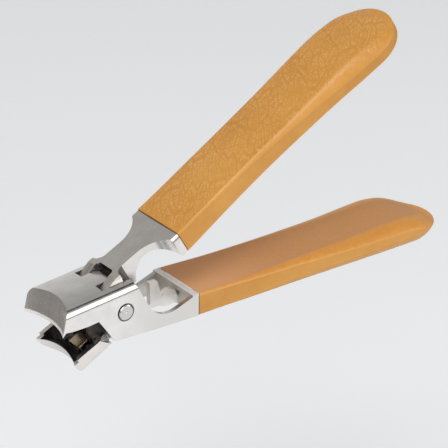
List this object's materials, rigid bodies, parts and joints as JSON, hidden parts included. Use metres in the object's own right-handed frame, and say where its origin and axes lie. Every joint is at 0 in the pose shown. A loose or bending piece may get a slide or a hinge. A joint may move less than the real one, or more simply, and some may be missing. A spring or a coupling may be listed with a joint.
{
  "type": "plier-type nail clipper",
  "caption": "Plier-type nail clipper: two crossed stamped steel levers on a riveted pivot, wide hollow-edged jaws, opening spring and long flared moulded grips with a leather-like grain.",
  "frame": {"origin": "under the middle of the whole, at the height of the lowest point; the pivot axis is 40.15 mm towards -X and 12.07 mm up", "axes": "+X from the jaws towards the grips, +Y along the pivot axis, +Z towards the upper jaw; rest pose fully open"},
  "size_m": [0.1144, 0.021, 0.0693],
  "materials": {
    "polished_steel": "polished stainless steel with fine brushing",
    "pin_steel": "turned stainless steel, satin",
    "spring_steel": "tempered spring strip, straw coloured",
    "grip_plastic": "satin moulded plastic, tan, leather-like grain on the outer face"
  },
  "bodies": {
    "lower_handle": {"outer_lever": "polished_steel", "pivot_pin": "pin_steel", "pivot_cap": "pin_steel", "spacer_washers": "pin_steel", "pivot_sleeve": "pin_steel", "return_spring": "spring_steel", "spring_anchor": "pin_steel", "anchor_pin": "pin_steel", "lower_grip_cover": "grip_plastic", "lower_grip_base": "grip_plastic", "lower_tang_pins": "pin_steel"},
    "upper_handle": {"inner_lever": "polished_steel", "upper_grip_cover": "grip_plastic", "upper_grip_base": "grip_plastic", "upper_tang_pins": "pin_steel"}
  },
  "joints": [
    {"name": "squeeze", "type": "hinge", "parent": "lower_handle", "child": "upper_handle", "pos_m": [-0.04015, 0, 0.01207], "axis": [0, 1, 0], "range_deg": [0, 28.6], "stiffness_Nm_per_rad": 0.12, "springref_deg": -20.05, "deforming": ["return_spring"]}
  ]
}
